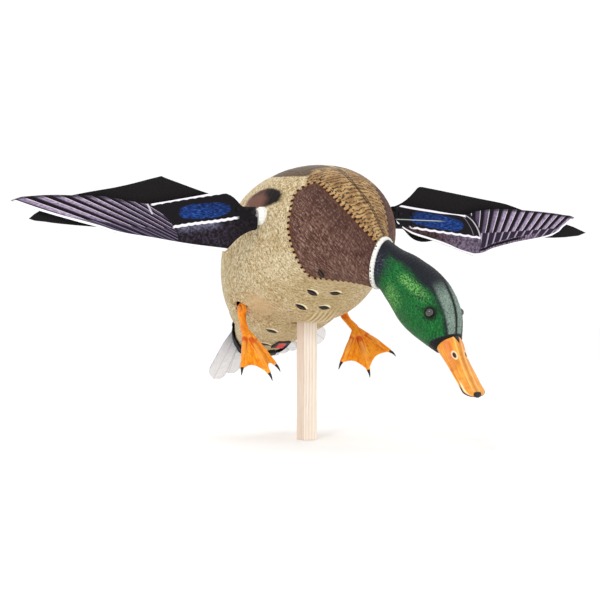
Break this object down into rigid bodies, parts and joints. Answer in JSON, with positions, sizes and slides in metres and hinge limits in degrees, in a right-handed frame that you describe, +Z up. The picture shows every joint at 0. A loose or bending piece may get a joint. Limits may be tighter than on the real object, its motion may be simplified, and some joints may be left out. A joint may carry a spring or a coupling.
{
  "type": "motion wing decoy",
  "caption": "Mallard drake field decoy on a square stake, with motor-driven spinning two-leaf wings, a turning head, swinging feet and a lift-off back cover.",
  "frame": {"origin": "centre of the stake's lower end, at the mouth of the ferrule bore", "axes": "+Z up along the stake, the drake faces -Y, +X to the drake's left"},
  "size_m": [0.8082, 0.4676, 0.347],
  "materials": {
    "beige_wood": "satin",
    "ferrule_metal": "satin",
    "body_tan": "matte",
    "tail_white": "matte",
    "black_plastic": "satin",
    "grey_plastic": "satin",
    "boot_tan": "matte",
    "steel": "brushed",
    "copper_windings": "satin",
    "brass": "satin",
    "bush_white": "gloss",
    "battery_wrap": "gloss",
    "strap_fabric": "matte",
    "board_green": "gloss",
    "lead_red": "gloss",
    "wing_print_a": "satin",
    "wing_print_b": "satin",
    "head_green": "satin",
    "neck_white": "matte",
    "bill_yellow": "satin",
    "eye_black": "gloss",
    "foot_orange": "satin",
    "claw_black": "gloss",
    "rocker_red": "gloss"
  },
  "bodies": {
    "stake": {"stake_section": "beige_wood", "stake_ferrule": "ferrule_metal"},
    "decoy": {"body_shell": "body_tan", "neck_socket": "grey_plastic", "tail_section": "body_tan", "rump_coverts": "black_plastic", "tail_feathers": "tail_white", "stake_boot": "boot_tan", "stake_socket": "grey_plastic", "chassis_plate": "grey_plastic", "chassis_screws": "steel", "motor_cradle": "grey_plastic", "motor_can": "steel", "motor_end_bells": "steel", "wing_bush_right": "bush_white", "wing_bush_left": "bush_white", "battery_pack": "battery_wrap", "battery_strap": "strap_fabric", "control_board": "board_green", "receiver_can": "steel", "power_leads": "lead_red", "hip_pin_right": "steel", "hip_pin_left": "steel", "switch_bezel": "black_plastic", "charge_jack": "black_plastic"},
    "back_cover": {"back_cover": "body_tan", "cover_bumpers": "strap_fabric"},
    "rotor": {"wing_shaft": "steel", "motor_armature": "copper_windings", "drive_collars": "brass"},
    "right_wing": {"right_wing_hub": "black_plastic", "right_wing_front_leaf": "wing_print_a", "right_wing_rear_leaf": "wing_print_b", "right_wing_magnet": "steel", "right_wing_screws": "steel"},
    "left_wing": {"left_wing_hub": "black_plastic", "left_wing_front_leaf": "wing_print_b", "left_wing_rear_leaf": "wing_print_a", "left_wing_magnet": "steel", "left_wing_screws": "steel"},
    "head": {"neck_spigot": "grey_plastic", "neck_ring": "neck_white", "head_shell": "head_green", "bill": "bill_yellow", "bill_nail": "claw_black", "eye_right": "eye_black", "eye_left": "eye_black"},
    "right_foot": {"right_foot": "foot_orange", "right_claws": "claw_black"},
    "left_foot": {"left_foot": "foot_orange", "left_claws": "claw_black"},
    "power_rocker": {"power_rocker": "rocker_red"},
    "charge_plug": {"charge_plug": "black_plastic"}
  },
  "joints": [
    {"name": "decoy_lift", "type": "slide", "parent": "stake", "child": "decoy", "axis": [0, 0, 1], "range_m": [0, 0.09]},
    {"name": "wing_spin", "type": "hinge", "parent": "decoy", "child": "rotor", "pos_m": [0, -0.049, 0.28], "axis": [1, 0, 0], "continuous": true},
    {"name": "right_wing_pull", "type": "slide", "parent": "rotor", "child": "right_wing", "axis": [-1, 0, 0], "range_m": [0, 0.04]},
    {"name": "left_wing_pull", "type": "slide", "parent": "rotor", "child": "left_wing", "axis": [1, 0, 0], "range_m": [0, 0.04]},
    {"name": "head_turn", "type": "hinge", "parent": "decoy", "child": "head", "pos_m": [0.014, -0.162, 0.222], "axis": [0.6043, -0.7735, -0.1908], "range_deg": [-25, 25]},
    {"name": "right_foot_swing", "type": "hinge", "parent": "decoy", "child": "right_foot", "pos_m": [-0.073, 0.038, 0.166], "axis": [1, 0, 0], "range_deg": [-20, 20]},
    {"name": "left_foot_swing", "type": "hinge", "parent": "decoy", "child": "left_foot", "pos_m": [0.073, 0.038, 0.166], "axis": [1, 0, 0], "range_deg": [-20, 20]},
    {"name": "back_cover_lift", "type": "slide", "parent": "decoy", "child": "back_cover", "axis": [0, 0, 1], "range_m": [0, 0.06]},
    {"name": "power_rocker_tilt", "type": "hinge", "parent": "decoy", "child": "power_rocker", "pos_m": [0.003, 0.08193, 0.12305], "axis": [1, 0, 0], "range_deg": [0, 10]},
    {"name": "charge_plug_pull", "type": "slide", "parent": "decoy", "child": "charge_plug", "axis": [0, -0.309, -0.9511], "range_m": [0, 0.02]}
  ]
}
